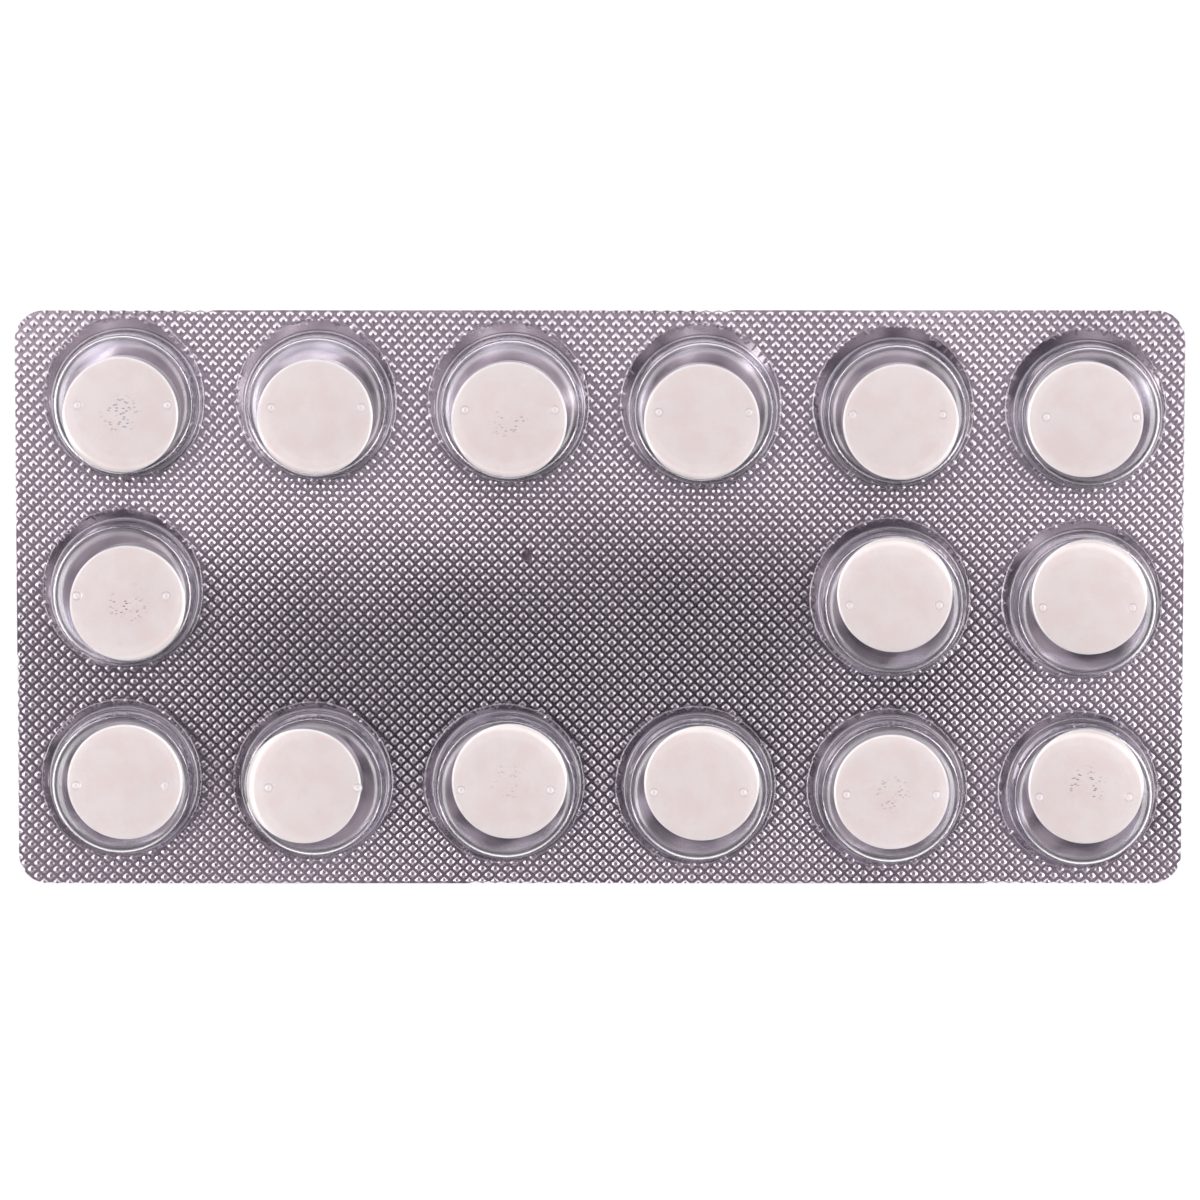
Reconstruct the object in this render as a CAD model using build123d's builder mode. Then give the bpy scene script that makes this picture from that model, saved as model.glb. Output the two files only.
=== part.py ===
from build123d import *
import math
import os

# Pill blister pack: a clear formed film with fifteen round pockets in rows of six, three and six,
# one white flat-faced tablet loose in each pocket, and a plain aluminium lidding foil sealed
# across the back. All sizes are in millimetres and all angles in degrees.
# The foil lies on z = 0 with its bare side down, the pockets point up along +Z, the card's
# length runs along +X, and the origin is in the middle of the card.

# Tablet: a flat-faced disc with bevelled edges
tablet_diameter = 11.6
tablet_thickness = 4.1
tablet_bevel = 0.45

# Sheets
foil_thickness = 0.05
film_thickness = 0.25

# Pocket: forming draws the film thinner in the wall and the roof than in the flat web, and
# thinnest where it turns over the shoulder. The play is the tablet's free way to each side and
# above it.
wall_thickness = 0.2
roof_thickness = 0.2
shoulder_thickness = 0.08
side_play = 1.05
head_play = 0.6
draft_angle = 4.0

# Array of pockets, which the die cut slightly askew and off the card's middle.
# A row between the first and the last has pockets only in the columns named here.
columns = 6
rows = 3
middle_row_columns = (0, 4, 5)
column_pitch = 19.4
row_pitch = 19.15
array_turn = -0.7
array_shift = Vector(0.46, 0.02)

# Web of the card outside its outermost pockets
end_web = 3.2
side_web = 2.65
card_corner_radius = 3.0

# How each tablet came to lie in its pocket: the direction in which it slid, counted from +X
# towards +Y, and the share of its free way that it went
tablet_rests = [
    (255, 0.98),
    (260, 0.97),
    (264, 0.98),
    (260, 0.96),
    (295, 0.80),
    (207, 0.55),
    (304, 0.92),
    (86, 0.96),
    (77, 0.98),
    (34, 0.45),
    (175, 0.97),
    (67, 0.83),
    (69, 0.85),
    (78, 0.20),
    (76, 0.98),
]

# Heights above z = 0
foil_top = foil_thickness
web_top = foil_top + film_thickness
tablet_edge_top = foil_top + tablet_thickness - tablet_bevel
roof_underside = foil_top + tablet_thickness + head_play
roof_top = roof_underside + roof_thickness

# Radii of a pocket, which widens by its draft towards its foot
tablet_radius = tablet_diameter / 2
draft = math.tan(math.radians(draft_angle))
cavity_radius = tablet_radius + side_play
cavity_foot_radius = cavity_radius + (tablet_edge_top - foil_top) * draft
cavity_roof_radius = cavity_radius - (roof_underside - tablet_edge_top) * draft
foot_radius = cavity_radius + wall_thickness + (tablet_edge_top - web_top) * draft
roof_radius = foot_radius - (roof_top - web_top) * draft
shoulder_bevel = wall_thickness + roof_thickness - shoulder_thickness * math.sqrt(2)

# Overall size of the card
card_length = (columns - 1) * column_pitch + 2 * (foot_radius + end_web)
card_width = (rows - 1) * row_pitch + 2 * (foot_radius + side_web)


def pocket_centres():
    """Return the centre of each pocket, row by row from the +Y side."""
    centres = []
    for row in range(rows):
        for column in range(columns):
            if 0 < row < rows - 1 and column not in middle_row_columns:
                continue
            along = (column - (columns - 1) / 2) * column_pitch
            across = ((rows - 1) / 2 - row) * row_pitch
            centres.append(Vector(along, across).rotate(Axis.Z, array_turn) + array_shift)
    return centres


def drawn_pocket(foot_height, foot, top_height, top):
    """Return a round pocket's solid form, whose drafted wall runs up from its foot to its top."""
    with BuildPart() as form:
        with BuildSketch(Plane.XZ):
            with BuildLine():
                wall = Bezier((foot, foot_height), (top, top_height))
                Polyline(wall @ 1, (0, top_height), (0, foot_height), wall @ 0)
            make_face()
        revolve(axis=Axis.Z)
    return form.part


pocket_places = pocket_centres()
cavity = drawn_pocket(foil_top, cavity_foot_radius, roof_underside, cavity_roof_radius)

# Outside of a pocket, bevelled along the shoulder
with BuildPart() as pocket_outside:
    add(drawn_pocket(web_top, foot_radius, roof_top, roof_radius))
    chamfer(pocket_outside.edges().filter_by(GeomType.CIRCLE).sort_by(Axis.Z)[-1], shoulder_bevel)

# Formed film: one sheet, with the pockets drawn up out of its flat web
with BuildPart() as blister_film:
    with BuildSketch(Plane.XY.offset(foil_top)):
        RectangleRounded(card_length, card_width, card_corner_radius)
    extrude(amount=film_thickness)
    with Locations(*pocket_places):
        add(pocket_outside.part)
    with Locations(*pocket_places):
        add(cavity, mode=Mode.SUBTRACT)

# Lidding foil: one flat sheet of the card's outline, which closes every pocket
with BuildPart() as lidding_foil:
    with BuildSketch(Plane.XY):
        RectangleRounded(card_length, card_width, card_corner_radius)
    extrude(amount=foil_thickness)

# Tablet, standing on the foil with its bevelled edge up
with BuildPart() as tablet_blank:
    with BuildSketch(Plane.XY.offset(foil_top)):
        Circle(tablet_radius)
    extrude(amount=tablet_thickness)
    chamfer(tablet_blank.edges().filter_by(GeomType.CIRCLE).sort_by(Axis.Z)[-1], tablet_bevel)

os.makedirs("parts", exist_ok=True)

blister_film.part.label = "blister_film"
export_step(blister_film.part, "parts/blister_film.step")

lidding_foil.part.label = "lidding_foil"
export_step(lidding_foil.part, "parts/lidding_foil.step")

# One loose tablet in each pocket
for number, pocket_place in enumerate(pocket_places):
    direction, share = tablet_rests[number % len(tablet_rests)]
    slide = Vector(share * side_play, 0).rotate(Axis.Z, direction)
    with BuildPart() as tablet:
        with Locations(pocket_place + slide):
            add(tablet_blank.part)
    tablet.part.label = f"tablet_{number + 1:02d}"
    export_step(tablet.part, f"parts/{tablet.part.label}.step")
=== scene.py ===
"""Dresses the pill blister pack: clear formed film, knurled lidding foil and fifteen white tablets.

Every length is in metres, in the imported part's own frame: the foil's bare side lies on z = 0, the
pockets point up along +Z and the card's length runs along +X.
"""
import logging
import math
from dataclasses import dataclass, field
from enum import Enum
from typing import Callable, Iterable, Optional, Sequence

import bmesh
import bpy
from mathutils import Matrix, Vector


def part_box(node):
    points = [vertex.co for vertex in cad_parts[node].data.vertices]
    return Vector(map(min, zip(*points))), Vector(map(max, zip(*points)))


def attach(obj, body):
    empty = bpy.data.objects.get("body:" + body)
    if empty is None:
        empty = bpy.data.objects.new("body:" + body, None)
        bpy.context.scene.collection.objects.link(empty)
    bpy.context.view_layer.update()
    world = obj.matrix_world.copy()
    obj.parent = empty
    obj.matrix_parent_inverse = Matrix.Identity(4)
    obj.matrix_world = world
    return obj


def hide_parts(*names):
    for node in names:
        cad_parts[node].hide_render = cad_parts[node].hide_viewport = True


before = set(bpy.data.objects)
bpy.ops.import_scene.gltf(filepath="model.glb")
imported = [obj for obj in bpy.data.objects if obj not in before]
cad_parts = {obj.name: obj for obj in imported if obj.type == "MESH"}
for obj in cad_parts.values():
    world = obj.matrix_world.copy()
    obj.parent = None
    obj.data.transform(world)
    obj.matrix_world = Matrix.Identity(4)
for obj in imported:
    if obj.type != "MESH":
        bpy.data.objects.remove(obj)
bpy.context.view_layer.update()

log = logging.getLogger("pill_blister_pack")

MM = 0.001
ROOT_BODY = "root"
FILM_NODE = "blister_film"
FOIL_NODE = "lidding_foil"
TABLET_NODE = "tablet_{:02d}"
KNURL_ATTRIBUTE = "knurl_share"
POCKET_ATTRIBUTE = "pocket_place"
FACE_ATTRIBUTE = "face_place"
FLAT = (1, 1, 0)
RIPPLE_MASK_EDGES = (0.38, 0.62)


class Slot(Enum):
    """The record's material slots."""

    FILM = "film"
    FOIL = "foil"
    TABLET = "tablet"


class Side(Enum):
    """Which way a lamp stands from the card, seen from above."""

    LEFT = -1.0
    RIGHT = 1.0


class NodeMaker:
    """Adds nodes to a shader or geometry tree and links them by socket name."""

    def __init__(self, tree: bpy.types.NodeTree) -> None:
        """Keep the tree that the nodes go into.

        Args:
            tree: The node tree to fill.
        """
        self.tree = tree
        self.column = 0

    def add(self, kind: str, settings: Optional[dict] = None, **inputs: object) -> bpy.types.Node:
        """Add one node.

        Args:
            kind: The node's type name.
            settings: Properties to set on the node before its inputs.
            inputs: Socket values or sockets to link, keyed by socket name with _ for each space.

        Returns:
            The new node.
        """
        node = self.tree.nodes.new(kind)
        node.location = (180 * self.column, 0)
        self.column += 1
        for name, value in (settings or {}).items():
            setattr(node, name, value)
        for name, value in inputs.items():
            self.feed(node.inputs[name.replace("_", " ")], value)
        return node

    def feed(self, socket: bpy.types.NodeSocket, value: object) -> None:
        """Link a socket to another one, or set its value.

        Args:
            socket: The input socket.
            value: An output socket to link from, or a plain value.
        """
        if isinstance(value, bpy.types.NodeSocket):
            self.tree.links.new(value, socket)
        else:
            socket.default_value = value

    def math(self, operation: str, *values: object) -> bpy.types.NodeSocket:
        """Add a scalar Math node.

        Args:
            operation: The Math node's operation.
            values: Numbers or sockets for its inputs, in order.

        Returns:
            The node's result.
        """
        node = self.add("ShaderNodeMath", {"operation": operation})
        for socket, value in zip(node.inputs, values):
            self.feed(socket, value)
        return node.outputs[0]

    def vector_math(self, operation: str, *values: object) -> bpy.types.Node:
        """Add a Vector Math node.

        Args:
            operation: The node's operation.
            values: Vectors or sockets for its inputs, in order.

        Returns:
            The new node, whose outputs are Vector and Value.
        """
        node = self.add("ShaderNodeVectorMath", {"operation": operation})
        for socket, value in zip(node.inputs, values):
            self.feed(socket, value)
        return node

    def smooth_range(self, value: object, low: float, high: float) -> bpy.types.NodeSocket:
        """Map a value smoothly from low..high to 0..1.

        Args:
            value: The number or socket to map.
            low: Where the result is 0.
            high: Where the result is 1.

        Returns:
            The mapped value.
        """
        node = self.add("ShaderNodeMapRange", {"interpolation_type": "SMOOTHSTEP"})
        for name, number in (("Value", value), ("From Min", low), ("From Max", high)):
            self.feed(node.inputs[name], number)
        return node.outputs["Result"]

    def inverted(self, share: object) -> bpy.types.NodeSocket:
        """Return 1 minus a share."""
        return self.math("SUBTRACT", 1.0, share)

    def between(self, share: object, at_zero: float, at_one: float) -> bpy.types.NodeSocket:
        """Go evenly from one number to another.

        Args:
            share: How far to go, from 0 to 1.
            at_zero: The result where the share is 0.
            at_one: The result where the share is 1.

        Returns:
            The number in between.
        """
        return self.math("MULTIPLY_ADD", share, at_one - at_zero, at_zero)

    def scaled(self, vector: object, factor: object) -> bpy.types.NodeSocket:
        """Return a vector or colour times a number."""
        node = self.vector_math("SCALE", vector)
        self.feed(node.inputs["Scale"], factor)
        return node.outputs[0]

    def flat(self, place: object) -> bpy.types.NodeSocket:
        """Return a place's point at z = 0."""
        return self.vector_math("MULTIPLY", place, FLAT).outputs[0]

    def axes(self, vector: object) -> bpy.types.bpy_prop_collection:
        """Return a vector's X, Y and Z sockets."""
        return self.add("ShaderNodeSeparateXYZ", Vector=vector).outputs

    def attribute(self, name: str) -> bpy.types.bpy_prop_collection:
        """Return the sockets of a stored attribute."""
        return self.add("ShaderNodeAttribute", {"attribute_name": name}).outputs


@dataclass(frozen=True)
class PocketArray:
    """Where the pockets and their seal-free collars stand on the card."""

    columns: int = 6
    rows: int = 3
    middle_row_columns: tuple[int, ...] = (0, 4, 5)
    column_pitch: float = 19.4 * MM
    pocket_row_pitch: float = 19.15 * MM
    seal_row_pitch: float = 19.4 * MM
    turn: float = math.radians(-0.7)
    pocket_shift: Vector = field(default_factory=lambda: Vector((0.46, 0.02)) * MM)
    seal_shift: Vector = field(default_factory=lambda: Vector((0.23, 0.40)) * MM)
    collar_radius: float = 8.0 * MM

    def _places(self, row_pitch: float, shift: Vector) -> list[Vector]:
        """Place one point for each pocket, row by row from the +Y side.

        Args:
            row_pitch: Distance between rows.
            shift: Offset of the whole array.

        Returns:
            The points, at z = 0.
        """
        places = []
        turned = Matrix.Rotation(self.turn, 2)
        for row in range(self.rows):
            for column in range(self.columns):
                if 0 < row < self.rows - 1 and column not in self.middle_row_columns:
                    continue
                along = (column - (self.columns - 1) / 2) * self.column_pitch
                across = ((self.rows - 1) / 2 - row) * row_pitch
                flat = turned @ Vector((along, across)) + shift
                places.append(flat.to_3d())
        return places

    def pockets(self) -> list[Vector]:
        """Return the pockets' centres."""
        return self._places(self.pocket_row_pitch, self.pocket_shift)

    def seals(self) -> list[Vector]:
        """Return the centres of the seal-free collars."""
        return self._places(self.seal_row_pitch, self.seal_shift)


@dataclass(frozen=True)
class CardOutline:
    """The card's rounded rectangle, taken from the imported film."""

    length: float
    width: float
    corner_radius: float = 3.0 * MM
    corner_steps: int = 12

    @classmethod
    def from_frame(cls) -> "CardOutline":
        """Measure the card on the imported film."""
        low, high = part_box(FILM_NODE)
        return cls(high.x - low.x, high.y - low.y)

    def points(self) -> list[Vector]:
        """Return the outline's points, counter-clockwise, at z = 0."""
        inner_x = self.length / 2 - self.corner_radius
        inner_y = self.width / 2 - self.corner_radius
        corners = ((inner_x, -inner_y, -90), (inner_x, inner_y, 0),
                   (-inner_x, inner_y, 90), (-inner_x, -inner_y, 180))
        points = []
        for x, y, start in corners:
            for step in range(self.corner_steps + 1):
                angle = math.radians(start + 90 * step / self.corner_steps)
                points.append(Vector((x + self.corner_radius * math.cos(angle),
                                      y + self.corner_radius * math.sin(angle), 0)))
        return points


def new_piece(name: str, mesh: bpy.types.Mesh, replaced: Sequence[str]) -> bpy.types.Object:
    """Put a finished mesh in the scene as a piece of the part.

    Args:
        name: The piece's name.
        mesh: Its mesh, already in the part's frame.
        replaced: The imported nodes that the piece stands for.

    Returns:
        The new object.
    """
    piece = bpy.data.objects.new(name, mesh)
    bpy.context.scene.collection.objects.link(piece)
    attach(piece, ROOT_BODY)
    if replaced:
        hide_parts(*replaced)
    log.info("%s: %d faces", name, len(mesh.polygons))
    return piece


def smooth_by_angle(mesh: bpy.types.Mesh, limit_degrees: float,
                    crisp: Callable[[bmesh.types.BMEdge], bool] = lambda edge: False) -> None:
    """Shade a mesh smooth, apart from edges that turn by more than a limit.

    Args:
        mesh: The mesh to shade.
        limit_degrees: The largest turn that stays smooth.
        crisp: Tells which edges stay sharp whatever their turn.
    """
    shaped = bmesh.new()
    shaped.from_mesh(mesh)
    limit = math.radians(limit_degrees)
    for face in shaped.faces:
        face.smooth = True
    for edge in shaped.edges:
        edge.smooth = len(edge.link_faces) == 2 and edge.calc_face_angle(0.0) < limit and not crisp(edge)
    shaped.to_mesh(mesh)
    shaped.free()


def circle(centre: Vector, radius: float, turns: int) -> list[Vector]:
    """Place points evenly round a level circle, counter-clockwise from +X.

    Args:
        centre: The circle's centre.
        radius: Its radius.
        turns: How many points it has.

    Returns:
        The points.
    """
    angles = [2 * math.pi * turn / turns for turn in range(turns)]
    return [centre + Vector((radius * math.cos(angle), radius * math.sin(angle), 0)) for angle in angles]


def point_mesh(name: str, points: Iterable[Vector]) -> bpy.types.Mesh:
    """Make a mesh of loose points.

    Args:
        name: The mesh's name.
        points: Where they stand.

    Returns:
        The new mesh.
    """
    mesh = bpy.data.meshes.new(name)
    mesh.from_pydata([tuple(point) for point in points], [], [])
    return mesh


def join_rings(shaped: bmesh.types.BMesh, low: Sequence[bmesh.types.BMVert],
               high: Sequence[bmesh.types.BMVert], outward: bool = True) -> None:
    """Join two rings of as many corners with a band of faces.

    Args:
        shaped: The mesh that takes the faces.
        low: The lower ring, counter-clockwise.
        high: The upper ring.
        outward: Whether the faces look away from the rings' middle.
    """
    for turn, corner in enumerate(low):
        after = (turn + 1) % len(low)
        corners = [corner, low[after], high[after], high[turn]]
        shaped.faces.new(corners if outward else corners[::-1])


def finish_mesh(name: str, shaped: bmesh.types.BMesh) -> bpy.types.Mesh:
    """Turn what was shaped into a mesh.

    Args:
        name: The mesh's name.
        shaped: The shape, which is freed.

    Returns:
        The new mesh.
    """
    mesh = bpy.data.meshes.new(name)
    shaped.to_mesh(mesh)
    shaped.free()
    return mesh


def evaluated_mesh(host: bpy.types.Object) -> bpy.types.Mesh:
    """Take an object's mesh with its modifiers applied.

    Args:
        host: The object, outside the scene. It is removed afterwards.

    Returns:
        The new mesh, with nothing live on it.
    """
    bpy.context.scene.collection.objects.link(host)
    bpy.context.view_layer.update()
    evaluated = host.evaluated_get(bpy.context.evaluated_depsgraph_get())
    mesh = bpy.data.meshes.new_from_object(evaluated)
    host.modifiers.clear()
    bpy.data.objects.remove(host)
    return mesh


def apply_tree(host: bpy.types.Object, tree: bpy.types.NodeTree, values: dict[str, object],
               name: str) -> bpy.types.Mesh:
    """Run a geometry tree on an object and take its result as a plain mesh.

    Args:
        host: The object whose mesh goes in. It is removed afterwards.
        tree: The geometry tree.
        values: The tree's inputs, keyed by name.
        name: The resulting mesh's name.

    Returns:
        The new mesh, with nothing live on it.
    """
    modifier = host.modifiers.new(tree.name, "NODES")
    modifier.node_group = tree
    for item in tree.interface.items_tree:
        if item.item_type == "SOCKET" and item.in_out == "INPUT" and item.name in values:
            modifier[item.identifier] = values[item.name]
    mesh = evaluated_mesh(host)
    mesh.name = name
    return mesh


def new_geometry_tree(name: str, inputs: Sequence[tuple[str, str, object]]) -> bpy.types.NodeTree:
    """Start a geometry tree with named inputs.

    Args:
        name: The tree's name.
        inputs: For each input its name, its socket type and its default, or None for no default.

    Returns:
        The new tree.
    """
    tree = bpy.data.node_groups.new(name, "GeometryNodeTree")
    tree.interface.new_socket("Geometry", in_out="INPUT", socket_type="NodeSocketGeometry")
    for label, kind, default in inputs:
        socket = tree.interface.new_socket(label, in_out="INPUT", socket_type=kind)
        if default is not None:
            socket.default_value = default
    tree.interface.new_socket("Geometry", in_out="OUTPUT", socket_type="NodeSocketGeometry")
    tree.is_modifier = True
    return tree


def ripple_group() -> bpy.types.NodeTree:
    """Build the shader group for gentle unevenness: a height and a mask from two scales of noise.

    Returns:
        The group, with inputs Vector, Coarse Scale, Fine Scale, Fine Share and Detail, and outputs Height
        and Mask.
    """
    tree = bpy.data.node_groups.new("surface_ripple", "ShaderNodeTree")
    tree.interface.new_socket("Vector", in_out="INPUT", socket_type="NodeSocketVector")
    for label, default in (("Coarse Scale", 100.0), ("Fine Scale", 1000.0), ("Fine Share", 0.3),
                           ("Detail", 2.0)):
        socket = tree.interface.new_socket(label, in_out="INPUT", socket_type="NodeSocketFloat")
        socket.default_value = default
    for label in ("Height", "Mask"):
        tree.interface.new_socket(label, in_out="OUTPUT", socket_type="NodeSocketFloat")
    make = NodeMaker(tree)
    given = make.add("NodeGroupInput").outputs
    coarse, fine = (make.add("ShaderNodeTexNoise", Vector=given["Vector"], Scale=given[f"{span} Scale"],
                             Detail=given["Detail"]) for span in ("Coarse", "Fine"))
    share = given["Fine Share"]
    coarse_part = make.math("MULTIPLY", coarse.outputs[0], make.inverted(share))
    fine_part = make.math("MULTIPLY", fine.outputs[0], share)
    height = make.math("ADD", coarse_part, fine_part)
    mask = make.smooth_range(height, *RIPPLE_MASK_EDGES)
    result = make.add("NodeGroupOutput")
    make.feed(result.inputs["Height"], height)
    make.feed(result.inputs["Mask"], mask)
    return tree


def new_material(name: str) -> tuple[bpy.types.Material, NodeMaker, bpy.types.Node, bpy.types.NodeSocket]:
    """Start a material with a Principled shader.

    Args:
        name: The material's name.

    Returns:
        The material, a maker for its tree, its Principled node and the Object coordinate socket.
    """
    material = bpy.data.materials.new(name)
    material.use_nodes = True
    material.node_tree.nodes.clear()
    make = NodeMaker(material.node_tree)
    place = make.add("ShaderNodeTexCoord").outputs["Object"]
    shader = make.add("ShaderNodeBsdfPrincipled")
    make.add("ShaderNodeOutputMaterial", Surface=shader.outputs[0])
    return material, make, shader, place


def ripple_node(make: NodeMaker, group: bpy.types.NodeTree, place: bpy.types.NodeSocket,
                coarse: float, fine: float, fine_share: float, detail: float = 2.0) -> bpy.types.Node:
    """Place the ripple group in a material.

    Args:
        make: The material's node maker.
        group: The ripple group.
        place: The coordinates that it follows.
        coarse: Scale of the broad noise, in features a metre.
        fine: Scale of the fine noise.
        fine_share: How much of the height is fine noise.
        detail: Octaves that each noise adds to its first.

    Returns:
        The group's node.
    """
    node = make.add("ShaderNodeGroup", {"node_tree": group})
    values = {"Vector": place, "Coarse Scale": coarse, "Fine Scale": fine, "Fine Share": fine_share,
              "Detail": detail}
    for name, value in values.items():
        make.feed(node.inputs[name], value)
    return node


def mix_colors(make: NodeMaker, factor: object, first: object, second: object) -> bpy.types.NodeSocket:
    """Blend two colours.

    Args:
        make: The material's node maker.
        factor: 0 for the first colour, 1 for the second.
        first: A colour or socket.
        second: A colour or socket.

    Returns:
        The blended colour.
    """
    node = make.add("ShaderNodeMix", {"data_type": "RGBA"})
    make.feed(node.inputs[0], factor)
    make.feed(node.inputs[6], first)
    make.feed(node.inputs[7], second)
    return node.outputs[2]


@dataclass(frozen=True)
class FoilFinish:
    """Soft-bright rolled aluminium, a little mauve, gently bowed and wavy, with painted shade towards its
    middle.
    """

    base: tuple[float, ...] = (0.565, 0.502, 0.552, 1.0)
    dull: tuple[float, ...] = (0.47, 0.414, 0.46, 1.0)
    unsealed: tuple[float, ...] = (0.60, 0.53, 0.585, 1.0)
    roughness: float = 0.17
    smudge_roughness: float = 0.45
    patch_scale: float = 28.0
    grain_scale: float = 1400.0
    grain_share: float = 0.25
    sealed_waves: float = 58.0
    unsealed_waves: float = 150.0
    sealed_tilt: float = 0.11
    unsealed_tilt: float = 0.55
    unsealed_bow: float = 0.55
    bow_tilt: tuple[float, float, float] = (0.5, 3.5, 0.0)
    bow_centre: tuple[float, float, float] = (0.0, -0.012, 0.0)
    # a knurl-free spot on the sealed land: painted shade for its darkness, with its place and size
    smudge: tuple[float, ...] = (0.13, 0.10, 0.125, 1.0)
    smudge_centre: tuple[float, float, float] = (-7.4 * MM, 4.3 * MM, 0.0)
    smudge_radius: float = 0.85 * MM
    smudge_reach: float = 1.4
    blot_weight: float = 1.3
    # painted shade: where and how strongly the sealed land darkens towards the card's middle
    middle_edges: tuple[float, float] = (1.0, 1.95)
    middle_share: float = 0.57
    middle_centre: tuple[float, float, float] = (-5.0 * MM, -7.0 * MM, 0.0)
    middle_reach: tuple[float, float, float] = (48.0 * MM, 15.0 * MM, 1.0)

    def material(self, ripple: bpy.types.NodeTree) -> bpy.types.Material:
        """Build the foil's material.

        Args:
            ripple: The shared ripple group.

        Returns:
            The material.
        """
        material, make, shader, place = new_material("foil_finish")
        patches = ripple_node(make, ripple, place, self.patch_scale, self.grain_scale, self.grain_share)
        knurled = make.attribute(KNURL_ATTRIBUTE)["Fac"]
        sealed = mix_colors(make, patches.outputs["Mask"], self.dull, self.base)
        # The sealed land takes painted shade towards the card's middle.
        color = mix_colors(make, knurled, self.unsealed, self._dulled_middle(make, place, sealed))
        # A knurl-free spot on the sealed land, drawn dark with painted shade and rough enough to hide the
        # knurl's highlights.
        wobble = make.math("MULTIPLY", patches.outputs["Height"], self.smudge_radius)
        away = make.vector_math("DISTANCE", make.flat(place), self.smudge_centre).outputs["Value"]
        clear = make.smooth_range(make.math("ADD", away, wobble), self.smudge_radius,
                                  self.smudge_reach * self.smudge_radius)
        make.feed(shader.inputs["Base Color"], mix_colors(make, clear, self.smudge, color))
        shader.inputs["Metallic"].default_value = 1.0
        spot_roughness = make.math("MULTIPLY", make.inverted(clear), self.smudge_roughness)
        make.feed(shader.inputs["Roughness"], make.math("MAXIMUM", spot_roughness, self.roughness))
        make.feed(shader.inputs["Normal"], self._wavy_normal(make, place, knurled))
        return material

    def _dulled_middle(self, make: NodeMaker, place: bpy.types.NodeSocket,
                       color: bpy.types.NodeSocket) -> bpy.types.NodeSocket:
        """Darken the sealed land towards the middle of the card with painted shade.

        Args:
            make: The material's node maker.
            place: The Object coordinates.
            color: The land's colour.

        Returns:
            The darkened colour.
        """
        away = make.vector_math("SUBTRACT", place, self.middle_centre).outputs[0]
        scaled = make.vector_math("DIVIDE", away, self.middle_reach).outputs[0]
        blots = make.add("ShaderNodeTexNoise", Vector=place, Scale=self.patch_scale).outputs[0]
        reach = make.math("MULTIPLY_ADD", blots, self.blot_weight,
                          make.vector_math("LENGTH", scaled).outputs["Value"])
        return make.scaled(color, make.between(make.smooth_range(reach, *self.middle_edges),
                                               self.middle_share, 1.0))

    def _wavy_normal(self, make: NodeMaker, place: bpy.types.NodeSocket,
                     knurled: bpy.types.NodeSocket) -> bpy.types.NodeSocket:
        """Tilt the surface along the card's slight bow and in waves, stronger where it isn't sealed.

        Args:
            make: The material's node maker.
            place: The Object coordinates.
            knurled: 1 on the sealed land, 0 elsewhere.

        Returns:
            The tilted normal.
        """
        scale = make.between(knurled, self.unsealed_waves, self.sealed_waves)
        waves = make.add("ShaderNodeTexNoise", Vector=place, Scale=scale, Detail=1.0)
        centred = make.vector_math("SUBTRACT", waves.outputs["Color"], (0.5, 0.5, 0.5)).outputs[0]
        waved = make.scaled(make.flat(centred), make.between(knurled, self.unsealed_tilt, self.sealed_tilt))
        off_centre = make.vector_math("SUBTRACT", place, self.bow_centre).outputs[0]
        bowed = make.scaled(make.vector_math("MULTIPLY", off_centre, self.bow_tilt).outputs[0],
                            make.between(knurled, self.unsealed_bow, 1.0))
        shift = make.vector_math("ADD", waved, bowed).outputs[0]
        surface = make.add("ShaderNodeNewGeometry").outputs["Normal"]
        return make.vector_math("NORMALIZE", make.vector_math("ADD", surface, shift).outputs[0]).outputs[0]


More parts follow.
